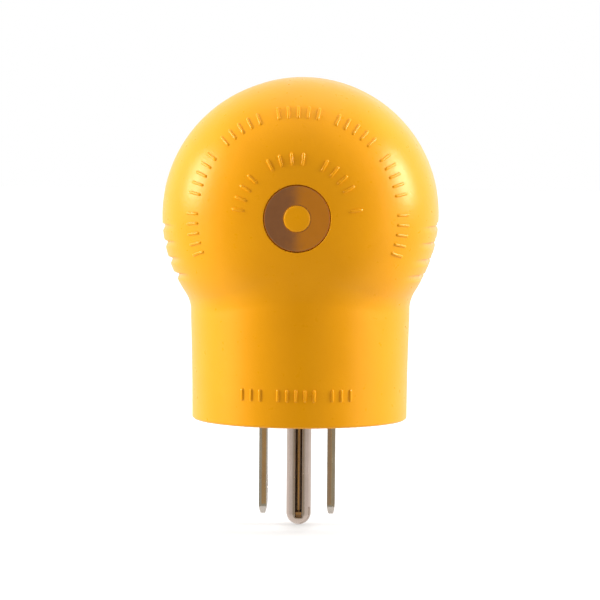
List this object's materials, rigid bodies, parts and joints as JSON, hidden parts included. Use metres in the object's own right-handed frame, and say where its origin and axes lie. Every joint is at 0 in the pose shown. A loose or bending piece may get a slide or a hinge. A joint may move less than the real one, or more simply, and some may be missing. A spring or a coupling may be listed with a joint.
{
  "type": "right-angle plug adapter",
  "caption": "Right-angle power adapter: a blade-and-pin plug below a domed yellow grip, and a round recessed receptacle facing sideways.",
  "frame": {"origin": "centre of the plug's flat mating face, on the barrel's axis", "axes": "+Z away from the outlet, up the barrel; +Y out of the receptacle's face; -Y towards the domed back"},
  "size_m": [0.0534, 0.0442, 0.0862],
  "materials": {
    "yellow_compound": "satin moulded soft vinyl",
    "charcoal_nylon": "fine textured moulded nylon",
    "bronze_eyelet": "turned bronze-coloured plate",
    "nickel_plate": "nickel plate over brass",
    "contact_brass": "stamped brass",
    "spring_steel": "spring steel",
    "bare_copper": "bare copper strand",
    "black_jacket": "satin",
    "white_jacket": "satin",
    "green_jacket": "satin"
  },
  "bodies": {
    "root": {"body": "yellow_compound", "receptacle_face": "charcoal_nylon", "contact_housing": "charcoal_nylon", "core_cover": "charcoal_nylon", "eyelet": "bronze_eyelet", "eyelet_fill": "yellow_compound", "plug_insert": "charcoal_nylon", "hot_blade": "nickel_plate", "neutral_blade": "nickel_plate", "ground_pin": "nickel_plate", "hot_contact": "contact_brass", "neutral_contact": "contact_brass", "ground_contact": "contact_brass", "hot_contact_spring": "spring_steel", "neutral_contact_spring": "spring_steel", "ground_contact_spring": "spring_steel", "hot_wire_copper": "bare_copper", "neutral_wire_copper": "bare_copper", "ground_wire_copper": "bare_copper", "hot_wire_jacket": "black_jacket", "neutral_wire_jacket": "white_jacket", "ground_wire_jacket": "green_jacket"}
  },
  "joints": []
}
